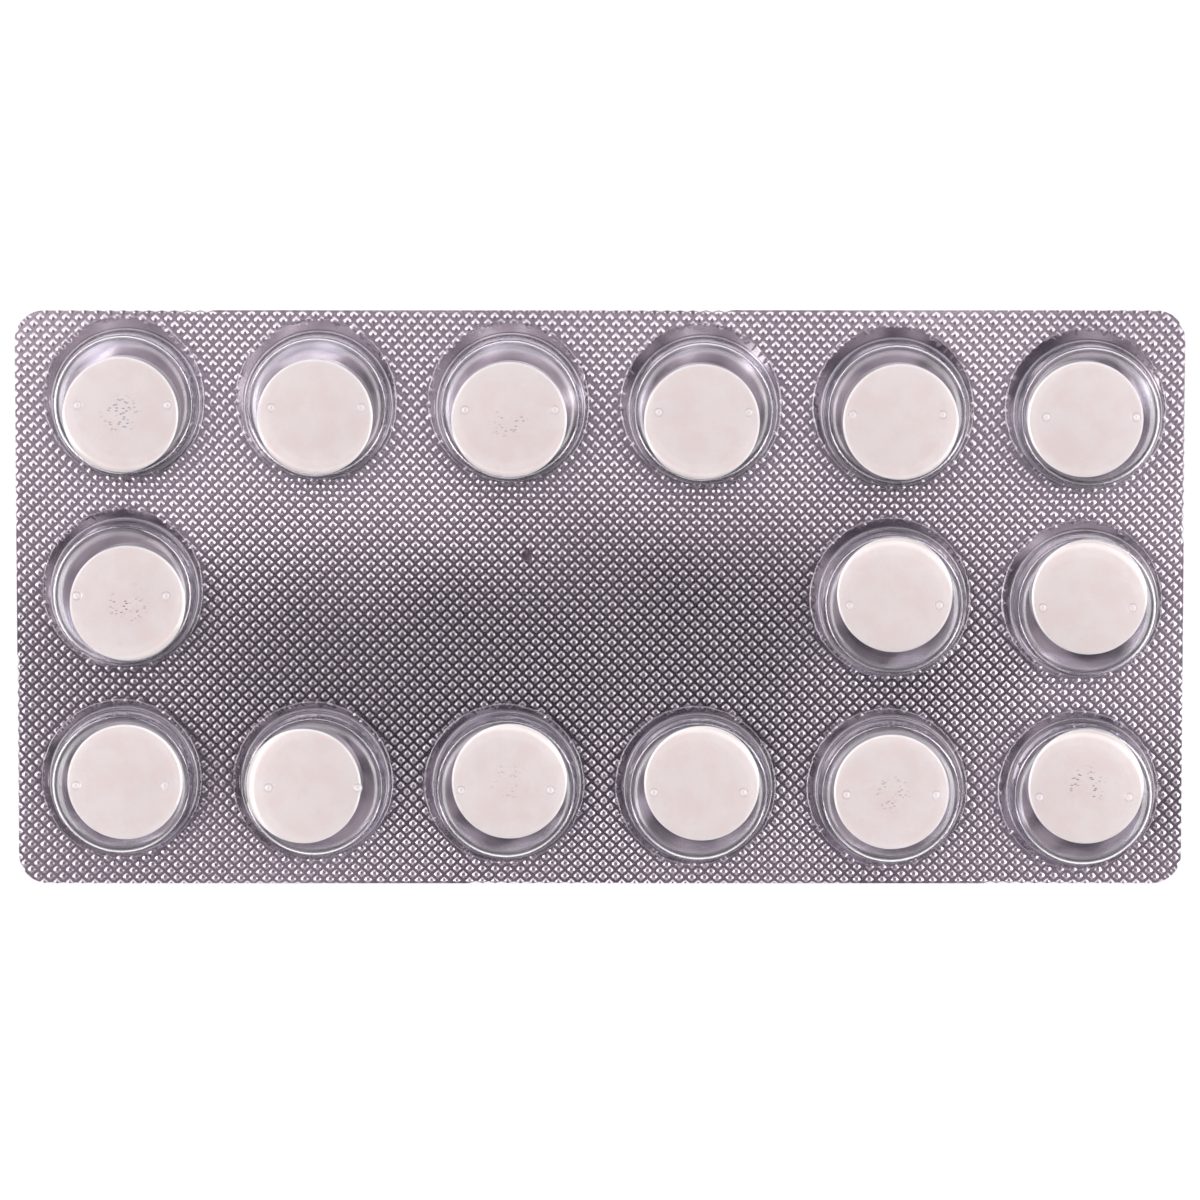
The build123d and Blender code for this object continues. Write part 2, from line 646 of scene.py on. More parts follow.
@dataclass(frozen=True)
class FilmFinish:
    """Clear glossy film, faintly rippled, with painted cool shade where a wall is seen edge-on, dark painted
    shade low on the walls away from the card's middle line, and vent pips with painted shade round their
    rims.
    """

    clear: tuple[float, ...] = (1.0, 1.0, 1.0, 1.0)
    # painted shade: the cool colour of a pocket wall seen edge-on
    drawn: tuple[float, ...] = (0.52, 0.56, 0.65, 1.0)
    # painted shade: the dark colour low on the pocket walls away from the card's middle line, and where it
    # reaches
    foot: tuple[float, ...] = (0.05, 0.06, 0.12, 1.0)
    foot_start: tuple[float, float] = (0.3 * MM, 0.6 * MM)
    foot_end: tuple[float, float] = (2.4 * MM, 4.4 * MM)
    foot_levels: tuple[float, float] = (0.6, 0.96)
    foot_sides: tuple[float, float] = (-0.1, 0.8)
    foot_reach: float = 12.0 * MM
    edge_on: tuple[float, float] = (0.06, 0.45)
    wall_levels: tuple[float, float] = (0.10, 0.60)
    # painted shade round each vent pip's rim
    pip_tint: tuple[float, ...] = (0.72, 0.71, 0.76, 1.0)
    ior: float = 1.53
    roughness: float = 0.0
    ripple_depth: float = 0.004 * MM
    ripple_scales: tuple[float, float] = (260.0, 900.0)
    ripple_share: float = 0.2
    pip_reach: float = 4.5 * MM
    pip_top: float = 0.05 * MM
    pip_radius: float = 0.50 * MM
    pip_height: float = 0.09 * MM
    rim_share: float = 0.8
    rim_width: float = 0.2

    def material(self, ripple: bpy.types.NodeTree) -> bpy.types.Material:
        """Build the film's material.

        Args:
            ripple: The shared ripple group.

        Returns:
            The material.
        """
        material, make, shader, place = new_material("film_finish")
        upright = make.axes(make.add("ShaderNodeTexCoord").outputs["Normal"])
        level = make.math("ABSOLUTE", upright["Z"])
        # Walls seen edge-on take painted cool shade.
        edge_on = make.smooth_range(make.add("ShaderNodeLayerWeight").outputs["Facing"], *self.edge_on)
        drawn = make.inverted(make.smooth_range(level, *self.wall_levels))
        color = mix_colors(make, make.math("MULTIPLY", drawn, edge_on), self.clear, self.drawn)
        # The lower walls away from the card's middle line take dark painted shade.
        foot = make.math("MULTIPLY", self._foot(make, place, upright["Y"], level), edge_on)
        foot_shaded = mix_colors(make, foot, color, self.foot)
        dome, rim = self._pips(make)
        # The pips' rims take painted shade.
        make.feed(shader.inputs["Base Color"], mix_colors(make, rim, foot_shaded, self.pip_tint))
        waves = ripple_node(make, ripple, place, *self.ripple_scales, self.ripple_share, 0.0)
        height = make.math("MULTIPLY", waves.outputs["Height"], self.ripple_depth)
        relief = make.math("MULTIPLY_ADD", dome, self.pip_height, height)
        bump = make.add("ShaderNodeBump", Height=relief, Distance=1.0)
        bump.inputs["Strength"].default_value = 1.0
        make.feed(shader.inputs["Normal"], bump.outputs[0])
        shader.inputs["Roughness"].default_value = self.roughness
        shader.inputs["IOR"].default_value = self.ior
        shader.inputs["Transmission Weight"].default_value = 1.0
        return material

    def _foot(self, make: NodeMaker, place: bpy.types.NodeSocket, facing: bpy.types.NodeSocket,
              level: bpy.types.NodeSocket) -> bpy.types.NodeSocket:
        """Find the lower wall of each pocket on the side away from the card's middle line, which takes dark
        painted shade.

        Args:
            make: The material's node maker.
            place: The Object coordinates.
            facing: The normal's Y.
            level: How level the surface is, from 0 to 1.

        Returns:
            The painted shade's strength there, from 0 to 1.
        """
        at = make.axes(place)
        low = make.math("SUBTRACT", make.smooth_range(at["Z"], *self.foot_start),
                        make.smooth_range(at["Z"], *self.foot_end))
        steep = make.inverted(make.smooth_range(level, *self.foot_levels))
        outward = make.math("MULTIPLY", facing, make.math("DIVIDE", at["Y"], self.foot_reach))
        return make.math("MULTIPLY", make.math("MULTIPLY", low, steep),
                         make.smooth_range(outward, *self.foot_sides))

    def _pips(self, make: NodeMaker) -> tuple[bpy.types.NodeSocket, bpy.types.NodeSocket]:
        """Raise a small dome on each side of a pocket's roof, with painted shade round its rim.

        Args:
            make: The material's node maker.

        Returns:
            The domes' height and the strength of the painted shade round their rims, from 0 to 1.
        """
        mirrored = make.vector_math("ABSOLUTE", make.attribute(POCKET_ATTRIBUTE)["Vector"]).outputs[0]
        centre = (self.pip_reach, 0.0, 0.0)
        away = make.vector_math("DISTANCE", mirrored, centre).outputs["Value"]
        dome = make.inverted(make.smooth_range(away, self.pip_top, self.pip_radius))
        off_rim = make.math("ABSOLUTE", make.math("SUBTRACT", away, self.rim_share * self.pip_radius))
        return dome, make.inverted(make.smooth_range(off_rim, 0.0, self.rim_width * self.pip_radius))


@dataclass(frozen=True)
class TabletFinish:
    """Smooth pressed powder: warm white, faintly mottled, with a painted highlight on the bevel, on some with
    grey specks.
    """

    base: tuple[float, ...] = (0.98, 0.848, 0.823, 1.0)
    pale: tuple[float, ...] = (1.0, 0.905, 0.882, 1.0)
    # painted highlight: the paler colour of the bevel and sides
    edge: tuple[float, ...] = (1.0, 0.955, 0.94, 1.0)
    speck: tuple[float, ...] = (0.30, 0.26, 0.35, 1.0)
    speck_reach: float = 2.5 * MM
    speck_core: float = 0.4
    speck_scale: float = 1500.0
    speck_stretch: tuple[float, float, float] = (1.0, 2.2, 0.0)
    speck_edges: tuple[float, float] = (0.14, 0.30)
    cluster_scale: float = 900.0
    cluster_edges: tuple[float, float] = (0.48, 0.55)
    mottle_scales: tuple[float, float] = (420.0, 4200.0)
    mottle_share: float = 0.35
    face_levels: tuple[float, float] = (0.90, 0.995)
    roughness: float = 0.35
    specular: float = 0.8
    coat_roughness: float = 0.12
    coat_ior: float = 1.75
    grain_depth: float = 0.006 * MM

    def material(self, ripple: bpy.types.NodeTree) -> bpy.types.Material:
        """Build the tablets' material.

        Args:
            ripple: The shared ripple group.

        Returns:
            The material.
        """
        material, make, shader, place = new_material("tablet_finish")
        mottle = ripple_node(make, ripple, place, *self.mottle_scales, self.mottle_share)
        color = mix_colors(make, mottle.outputs["Mask"], self.base, self.pale)
        # The bevel and sides take a painted highlight.
        upright = make.axes(make.add("ShaderNodeTexCoord").outputs["Normal"])
        level = make.smooth_range(upright["Z"], *self.face_levels)
        rim_highlighted = mix_colors(make, level, self.edge, color)
        make.feed(shader.inputs["Base Color"], mix_colors(make, self._specks(make, place), rim_highlighted, self.speck))
        bump = make.add("ShaderNodeBump", Height=mottle.outputs["Height"], Distance=self.grain_depth)
        make.feed(shader.inputs["Normal"], bump.outputs[0])
        shader.inputs["Roughness"].default_value = self.roughness
        shader.inputs["Specular IOR Level"].default_value = self.specular
        shader.inputs["Coat Weight"].default_value = 1.0
        shader.inputs["Coat Roughness"].default_value = self.coat_roughness
        shader.inputs["Coat IOR"].default_value = self.coat_ior
        return material

    def _specks(self, make: NodeMaker, place: bpy.types.NodeSocket) -> bpy.types.NodeSocket:
        """Scatter tiny specks near the middle of the tablets that have them.

        Args:
            make: The material's node maker.
            place: The Object coordinates.

        Returns:
            The specks' strength, from 0 to 1.
        """
        stretched = make.vector_math("MULTIPLY", place, self.speck_stretch).outputs[0]
        cells = make.add("ShaderNodeTexVoronoi", {"voronoi_dimensions": "2D"}, Vector=stretched,
                         Scale=self.speck_scale)
        dots = make.inverted(make.smooth_range(cells.outputs["Distance"], *self.speck_edges))
        clusters = make.add("ShaderNodeTexNoise", Vector=place, Scale=self.cluster_scale)
        rare = make.smooth_range(clusters.outputs[0], *self.cluster_edges)
        local = make.attribute(FACE_ATTRIBUTE)["Vector"]
        reach = make.vector_math("LENGTH", make.flat(local)).outputs["Value"]
        near = make.inverted(make.smooth_range(reach, self.speck_core * self.speck_reach, self.speck_reach))
        amount = make.axes(local)["Z"]
        return make.math("MULTIPLY", make.math("MULTIPLY", dots, rare), make.math("MULTIPLY", near, amount))


@dataclass
class LiddingFoil:
    """The foil: a thin sheet whose sealed land is knurled and whose collars and pocket floors stay flat."""

    outline: CardOutline
    array: PocketArray
    thickness: float = 0.05 * MM
    pitch: float = 0.912 * MM
    relief: float = 0.078 * MM
    base_share: float = 0.325
    crown_share: float = 0.19
    fade: float = 0.12 * MM
    rim_share: float = 0.45
    weld_distance: float = 0.004 * MM
    level_limit: float = 0.9995
    height_slack: float = 0.001 * MM
    crease_degrees: float = 60.0

    def _cell(self) -> bpy.types.Object:
        """Make one raised diamond of the knurl, a pitch wide and as high as the relief.

        Returns:
            An object that holds the cell, outside the scene.
        """
        corners = [(-1, -1), (1, -1), (1, 1), (-1, 1)]
        levels = [(0.5, 0.0), (self.base_share, 0.0), (self.crown_share, self.relief)]
        points = [(x * share * self.pitch, y * share * self.pitch, height)
                  for share, height in levels for x, y in corners]
        faces = [(8, 9, 10, 11)]
        for side in range(4):
            after = (side + 1) % 4
            faces += [(low + side, low + after, low + 4 + after, low + 4 + side) for low in (0, 4)]
        mesh = bpy.data.meshes.new("knurl_cell")
        mesh.from_pydata(points, [], faces)
        return bpy.data.objects.new("knurl_cell", mesh)

    def _tree(self) -> bpy.types.NodeTree:
        """Build the geometry tree that lays the knurl over the card.

        Returns:
            The tree. Its geometry input holds one point for each seal-free collar.
        """
        tree = new_geometry_tree("seal_knurl", (
            ("Cell", "NodeSocketObject", None),
            ("Pitch", "NodeSocketFloat", self.pitch),
            ("Turn", "NodeSocketFloat", 0.0),
            ("Cells Across", "NodeSocketInt", 10),
            ("Half Length", "NodeSocketFloat", 0.05),
            ("Half Width", "NodeSocketFloat", 0.03),
            ("Corner Radius", "NodeSocketFloat", 0.003),
            ("Collar Radius", "NodeSocketFloat", 0.008),
            ("Fade", "NodeSocketFloat", self.fade),
            ("Weld Distance", "NodeSocketFloat", self.weld_distance),
            ("Base Height", "NodeSocketFloat", self.thickness),
            ("Finish", "NodeSocketMaterial", None),
        ))
        make = NodeMaker(tree)
        given = make.add("NodeGroupInput").outputs
        span = make.math("MULTIPLY", given["Pitch"], make.math("SUBTRACT", given["Cells Across"], 1.0))
        lattice = make.add("GeometryNodeMeshGrid", Size_X=span, Size_Y=span,
                           Vertices_X=given["Cells Across"], Vertices_Y=given["Cells Across"])
        turn = make.add("ShaderNodeCombineXYZ", Z=given["Turn"]).outputs[0]
        turned = make.add("GeometryNodeTransform", Geometry=lattice.outputs["Mesh"], Rotation=turn)
        limit = make.math("MULTIPLY_ADD", given["Pitch"], self.rim_share, given["Corner Radius"])
        place = make.add("GeometryNodeInputPosition").outputs[0]
        inner, beyond_inner = self._beyond_corner(make, given, place)
        beyond = make.math("GREATER_THAN", beyond_inner, limit)
        kept = make.add("GeometryNodeDeleteGeometry", {"domain": "POINT"},
                        Geometry=turned.outputs[0], Selection=beyond)
        cell = make.add("GeometryNodeObjectInfo", Object=given["Cell"])
        laid = make.add("GeometryNodeInstanceOnPoints", Points=kept.outputs[0],
                        Instance=cell.outputs["Geometry"], Rotation=turn)
        real = make.add("GeometryNodeRealizeInstances", Geometry=laid.outputs[0])
        welded = make.add("GeometryNodeMergeByDistance", Geometry=real.outputs[0],
                          Distance=given["Weld Distance"])
        flat_place = make.flat(place)
        away = make.vector_math("SUBTRACT", flat_place, inner).outputs[0]
        reach = make.math("MINIMUM", beyond_inner, given["Corner Radius"])
        pulled = make.scaled(make.vector_math("NORMALIZE", away).outputs[0], reach)
        flat = make.vector_math("ADD", inner, pulled).outputs[0]
        seals = make.add("GeometryNodeProximity", {"target_element": "POINTS"}, Sample_Position=flat_place)
        make.feed(seals.inputs[0], given["Geometry"])
        past = make.math("DIVIDE", make.math("SUBTRACT", seals.outputs["Distance"], given["Collar Radius"]),
                         given["Fade"])
        raised = make.smooth_range(past, 0.0, 1.0)
        height = make.math("MULTIPLY", make.axes(place)["Z"], raised)
        lifted = make.add("ShaderNodeCombineXYZ", Z=make.math("ADD", height, given["Base Height"]))
        target = make.vector_math("ADD", flat, lifted.outputs[0]).outputs[0]
        marked = make.add("GeometryNodeStoreNamedAttribute", {"data_type": "FLOAT", "domain": "POINT"},
                          Geometry=welded.outputs[0], Name=KNURL_ATTRIBUTE, Value=raised)
        moved = make.add("GeometryNodeSetPosition", Geometry=marked.outputs[0], Position=target)
        closed = make.add("GeometryNodeMergeByDistance", Geometry=moved.outputs[0],
                          Distance=given["Weld Distance"])
        dressed = make.add("GeometryNodeSetMaterial", Geometry=closed.outputs[0], Material=given["Finish"])
        make.add("NodeGroupOutput", Geometry=dressed.outputs[0])
        return tree

    def _beyond_corner(self, make: NodeMaker, given: bpy.types.bpy_prop_collection,
                       place: bpy.types.NodeSocket) -> tuple[bpy.types.NodeSocket, bpy.types.NodeSocket]:
        """Compare each point with the rectangle through the centres of the card's corner rounds.

        Args:
            make: The tree's node maker.
            given: The tree's input sockets.
            place: The points' positions.

        Returns:
            The nearest point of that rectangle, and the distance from it.
        """
        flat = make.flat(place)
        inner_x = make.math("SUBTRACT", given["Half Length"], given["Corner Radius"])
        inner_y = make.math("SUBTRACT", given["Half Width"], given["Corner Radius"])
        high = make.add("ShaderNodeCombineXYZ", X=inner_x, Y=inner_y).outputs[0]
        low = make.vector_math("MULTIPLY", high, (-1, -1, -1)).outputs[0]
        capped = make.vector_math("MINIMUM", flat, high).outputs[0]
        inner = make.vector_math("MAXIMUM", capped, low).outputs[0]
        distance = make.vector_math("DISTANCE", flat, inner).outputs["Value"]
        return inner, distance

    def _join_flats(self, mesh: bpy.types.Mesh) -> None:
        """Join the flattened cells inside each collar into one face.

        Args:
            mesh: The relief's mesh.
        """
        shaped = bmesh.new()
        shaped.from_mesh(mesh)
        share = shaped.verts.layers.float[KNURL_ATTRIBUTE]
        flats = [face for face in shaped.faces if all(vertex[share] == 0.0 for vertex in face.verts)]
        bmesh.ops.dissolve_faces(shaped, faces=flats, use_verts=False)
        shaped.to_mesh(mesh)
        shaped.free()

    def _valley_edge(self, edge: bmesh.types.BMEdge) -> bool:
        """Tell whether a flank meets a flat valley along an edge.

        Args:
            edge: The edge to look at.

        Returns:
            True where the edge is at the foot of a raised diamond.
        """
        for vertex in edge.verts:
            if min(abs(vertex.co.z), abs(vertex.co.z - self.thickness)) > self.height_slack:
                return False
        levels = [abs(face.normal.z) > self.level_limit for face in edge.link_faces]
        return any(levels) and not all(levels)

    def build(self, finish: bpy.types.Material) -> bpy.types.Object:
        """Build the foil.

        Args:
            finish: The foil's material.

        Returns:
            The finished piece.
        """
        cell = self._cell()
        host = bpy.data.objects.new("seal_knurl_host", point_mesh("collar_centres", self.array.seals()))
        across = int(math.hypot(self.outline.length, self.outline.width) / self.pitch) + 2
        mesh = apply_tree(host, self._tree(), {
            "Cell": cell,
            "Turn": math.radians(45) + self.array.turn,
            "Cells Across": across,
            "Half Length": self.outline.length / 2,
            "Half Width": self.outline.width / 2,
            "Corner Radius": self.outline.corner_radius,
            "Collar Radius": self.array.collar_radius,
            "Finish": finish,
        }, FOIL_NODE)
        bpy.data.objects.remove(cell)
        self._join_flats(mesh)
        thin = bpy.data.objects.new("foil_sheet", mesh)
        solid = thin.modifiers.new("sheet_thickness", "SOLIDIFY")
        solid.thickness = self.thickness
        solid.offset = -1.0
        sheet = evaluated_mesh(thin)
        smooth_by_angle(sheet, self.crease_degrees, self._valley_edge)
        return new_piece("knurled_foil", sheet, [FOIL_NODE])


@dataclass
class FormedFilm:
    """The clear film: a pressed web, a low step round each collar, and drafted, round-shouldered pockets."""

    outline: CardOutline
    array: PocketArray
    web_underside: float = 0.145 * MM
    land_top: float = 0.25 * MM
    collar_top: float = 0.30 * MM
    step_width: float = 0.12 * MM
    step_clearance: float = 0.06 * MM
    scallop: float = 0.05 * MM
    knurl_pitch: float = 0.912 * MM
    foot_radius: float = 7.25 * MM
    thickness: float = 0.20 * MM
    draft: float = math.radians(4.0)
    foot_round: float = 0.40 * MM
    foot_rim: float = 0.08 * MM
    shoulder_round: float = 1.05 * MM
    crown_round: float = 7.0 * MM
    crown_slope: float = math.radians(12.0)
    roof_top: float = 4.93 * MM
    turns: int = 96
    step_turns: int = 192
    arc_steps: int = 7
    crown_steps: int = 4
    weld_distance: float = 0.002 * MM
    crease_degrees: float = 15.0

    def _skins(self) -> tuple[list[tuple[float, float]], list[tuple[float, float]]]:
        """Draw the outer and the inner face of a pocket's section, from the web to the middle of its roof.

        Returns:
            The outer and the inner points, as (radius, height).
        """
        slope = math.tan(self.draft)
        crown_drop = self.crown_round * (1 - math.cos(self.crown_slope))
        shoulder_z = self.roof_top - crown_drop - self.shoulder_round * math.cos(self.crown_slope)
        shoulder_r = (self.foot_radius - (shoulder_z - self.collar_top) * slope
                      - self.shoulder_round / math.cos(self.draft))
        crown_r = shoulder_r - (self.crown_round - self.shoulder_round) * math.sin(self.crown_slope)
        foot_r = self.foot_radius + self.foot_round * (1 / math.cos(self.draft) - slope)
        outer = [(foot_r + self.foot_rim, self.collar_top)]
        inner = [(foot_r + self.foot_rim, self.web_underside)]
        steps = [step / self.arc_steps for step in range(self.arc_steps + 1)]
        for share in steps:
            angle = math.pi / 2 - (math.pi / 2 - self.draft) * share
            thick = self.collar_top - self.web_underside if share == 0 else self.thickness
            way = (math.cos(angle), math.sin(angle))
            outer.append((foot_r - self.foot_round * way[0],
                          self.collar_top + self.foot_round * (1 - way[1])))
            inner.append((outer[-1][0] - thick * way[0], outer[-1][1] - thick * way[1]))
        turn = math.pi / 2 - self.crown_slope
        crown_z = self.roof_top - self.crown_round
        crown_shares = [(step + 1) / self.crown_steps for step in range(self.crown_steps)]
        arcs = ((shoulder_r, shoulder_z, self.shoulder_round, self.draft, turn, steps),
                (crown_r, crown_z, self.crown_round, turn, math.pi / 2, crown_shares))
        for centre_r, centre_z, radius, start, end, shares in arcs:
            for share in shares:
                angle = start + (end - start) * share
                way = (math.cos(angle), math.sin(angle))
                outer.append((centre_r + radius * way[0], centre_z + radius * way[1]))
                inner.append((centre_r + (radius - self.thickness) * way[0],
                              centre_z + (radius - self.thickness) * way[1]))
        return outer, inner

    def _pocket(self) -> bpy.types.Object:
        """Make one pocket of two nested skins, open at its foot.

        Returns:
            An object that holds the pocket, outside the scene.
        """
        shaped = bmesh.new()
        for skin, outward in zip(self._skins(), (True, False)):
            rings = [[shaped.verts.new(point) for point in circle(Vector((0, 0, height)), radius, self.turns)]
                     for radius, height in skin]
            for low, high in zip(rings, rings[1:]):
                join_rings(shaped, low, high, outward)
            shaped.faces.new(rings[-1] if outward else rings[-1][::-1])
        return bpy.data.objects.new("pocket_form", finish_mesh("pocket_form", shaped))

    def _step_ring(self, seal: Vector, pocket: Vector, radius: float, height: float,
                   hole_radius: float) -> list[Vector]:
        """Draw one edge of the step round a collar, scalloped by the knurl and clear of the pocket's foot.

        Args:
            seal: The collar's centre.
            pocket: The pocket's centre.
            radius: The edge's radius about the collar's centre.
            height: The edge's height.
            hole_radius: Radius of the pocket's foot.

        Returns:
            The edge's points.
        """
        turned = Matrix.Rotation(-(math.radians(45) + self.array.turn), 2)
        points = []
        for point in circle(seal, radius, self.step_turns):
            cell = turned @ point.to_2d() * (2 * math.pi / self.knurl_pitch)
            outward = (point - seal).normalized()
            point = point + outward * self.scallop * math.cos(cell.x) * math.cos(cell.y)
            clear = point - pocket
            least = hole_radius + self.step_clearance + radius - self.array.collar_radius
            if clear.length < least:
                point = pocket + clear.normalized() * least
            points.append(point + Vector((0, 0, height)))
        return points

    def _fill(self, shaped: bmesh.types.BMesh, loops: Sequence[Sequence[bmesh.types.BMVert]],
              upward: bool) -> None:
        """Fill the flat area between closed loops.

        Args:
            shaped: The mesh that takes the faces.
            loops: The outer loop and its holes.
            upward: Whether the faces look up.
        """
        edges = []
        for loop in loops:
            for index, corner in enumerate(loop):
                pair = (corner, loop[(index + 1) % len(loop)])
                edges.append(shaped.edges.get(pair) or shaped.edges.new(pair))
        filled = bmesh.ops.triangle_fill(shaped, edges=edges, use_beauty=True,
                                         normal=(0, 0, 1 if upward else -1))
        for face in [item for item in filled["geom"] if isinstance(item, bmesh.types.BMFace)]:
            face.normal_update()
            if (face.normal.z > 0) != upward:
                face.normal_flip()

    def _web(self) -> bpy.types.Object:
        """Make the flat web with a round hole for each pocket, its outer edge and the collars' steps.

        Returns:
            An object that holds the web, outside the scene.
        """
        hole_radius = self._skins()[0][0][0]
        shaped = bmesh.new()
        rim = self.outline.points()
        high_rim, low_rim = ([shaped.verts.new(point + Vector((0, 0, height))) for point in rim]
                             for height in (self.land_top, self.web_underside))
        join_rings(shaped, low_rim, high_rim)
        land_loops, under_loops = [high_rim], [low_rim]
        for seal, pocket in zip(self.array.seals(), self.array.pockets()):
            step = ((self.array.collar_radius + self.step_width, self.land_top),
                    (self.array.collar_radius, self.collar_top))
            edges = [[shaped.verts.new(point)
                      for point in self._step_ring(seal, pocket, radius, height, hole_radius)]
                     for radius, height in step]
            join_rings(shaped, *edges)
            holes = [[shaped.verts.new(point)
                      for point in circle(pocket + Vector((0, 0, height)), hole_radius, self.turns)]
                     for height in (self.collar_top, self.web_underside)]
            self._fill(shaped, [edges[1], holes[0]], True)
            land_loops.append(edges[0])
            under_loops.append(holes[1])
        self._fill(shaped, land_loops, True)
        self._fill(shaped, under_loops, False)
        return bpy.data.objects.new("film_web", finish_mesh("film_web", shaped))

    def _tree(self) -> bpy.types.NodeTree:
        """Build the geometry tree that sets a pocket on each point and welds it to the web.

        Returns:
            The tree. Its geometry input holds one point for each pocket.
        """
        tree = new_geometry_tree("pocket_array", (
            ("Pocket", "NodeSocketObject", None),
            ("Web", "NodeSocketObject", None),
            ("Weld Distance", "NodeSocketFloat", self.weld_distance),
            ("Finish", "NodeSocketMaterial", None),
        ))
        make = NodeMaker(tree)
        given = make.add("NodeGroupInput").outputs
        pocket = make.add("GeometryNodeObjectInfo", Object=given["Pocket"])
        local = make.add("GeometryNodeInputPosition").outputs[0]
        marked = make.add("GeometryNodeStoreNamedAttribute", {"data_type": "FLOAT_VECTOR", "domain": "POINT"},
                          Geometry=pocket.outputs["Geometry"], Name=POCKET_ATTRIBUTE,
                          Value=make.flat(local))
        placed = make.add("GeometryNodeInstanceOnPoints", Points=given["Geometry"],
                          Instance=marked.outputs[0])
        web = make.add("GeometryNodeObjectInfo", Object=given["Web"])
        joined = make.add("GeometryNodeJoinGeometry")
        make.feed(joined.inputs[0], placed.outputs[0])
        make.feed(joined.inputs[0], web.outputs["Geometry"])
        real = make.add("GeometryNodeRealizeInstances", Geometry=joined.outputs[0])
        welded = make.add("GeometryNodeMergeByDistance", Geometry=real.outputs[0],
                          Distance=given["Weld Distance"])
        dressed = make.add("GeometryNodeSetMaterial", Geometry=welded.outputs[0], Material=given["Finish"])
        make.add("NodeGroupOutput", Geometry=dressed.outputs[0])
        return tree

    def build(self, finish: bpy.types.Material) -> bpy.types.Object:
        """Build the film.

        Args:
            finish: The film's material.

        Returns:
            The finished piece.
        """
        pocket, web = self._pocket(), self._web()
        host = bpy.data.objects.new("pocket_array_host", point_mesh("pocket_centres", self.array.pockets()))
        mesh = apply_tree(host, self._tree(), {"Pocket": pocket, "Web": web, "Finish": finish}, FILM_NODE)
        bpy.data.objects.remove(pocket)
        bpy.data.objects.remove(web)
        smooth_by_angle(mesh, self.crease_degrees)
        return new_piece("formed_film", mesh, [FILM_NODE])


@dataclass
class Tablets:
    """The loose tablets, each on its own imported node."""

    bevel_width: float = 0.20 * MM
    bevel_height: float = 0.11 * MM
    edge_round: float = 0.03 * MM
    turns: int = 96
    crease_degrees: float = 18.0
    count: int = 15
    specks: dict[int, float] = field(
        default_factory=lambda: {1: 0.75, 3: 0.6, 7: 1.0, 12: 0.4, 14: 0.6, 15: 1.0})

    def _profile(self, radius: float, low: float, high: float) -> list[tuple[float, float]]:
        """Draw a tablet's half section from its lower face to its upper face.

        Args:
            radius: The tablet's radius.
            low: Height of the lower face.
            high: Height of the upper face.

        Returns:
            Points as (radius, height).
        """
        soft = self.edge_round
        upper = [
            (radius, high - self.bevel_height - soft),
            (radius - soft * 0.5, high - self.bevel_height),
            (radius - self.bevel_width, high - soft * 0.2),
            (radius - self.bevel_width - soft, high),
        ]
        lower = [(point_radius, low + high - height) for point_radius, height in reversed(upper)]
        return lower + upper

    def build(self, finish: bpy.types.Material) -> list[bpy.types.Object]:
        """Build every tablet where its node lies.

        Args:
            finish: The tablets' material.

        Returns:
            The finished pieces.
        """
        pieces = []
        for number in range(1, self.count + 1):
            node = TABLET_NODE.format(number)
            low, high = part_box(node)
            centre = (low + high) / 2
            profile = self._profile((high.x - low.x) / 2, low.z, high.z)
            shaped = bmesh.new()
            rings = [[shaped.verts.new(point)
                      for point in circle(Vector((centre.x, centre.y, height)), radius, self.turns)]
                     for radius, height in profile]
            for below, above in zip(rings, rings[1:]):
                join_rings(shaped, below, above)
            shaped.faces.new(rings[0][::-1])
            shaped.faces.new(rings[-1])
            mesh = finish_mesh(f"loose_{node}", shaped)
            mesh.materials.append(finish)
            face_place = mesh.attributes.new(FACE_ATTRIBUTE, "FLOAT_VECTOR", "POINT")
            for vertex, entry in zip(mesh.vertices, face_place.data):
                offset = vertex.co - centre
                entry.vector = (offset.x, offset.y, self.specks.get(number, 0.0))
            smooth_by_angle(mesh, self.crease_degrees)
            pieces.append(new_piece(f"loose_{node}", mesh, [node]))
        return pieces


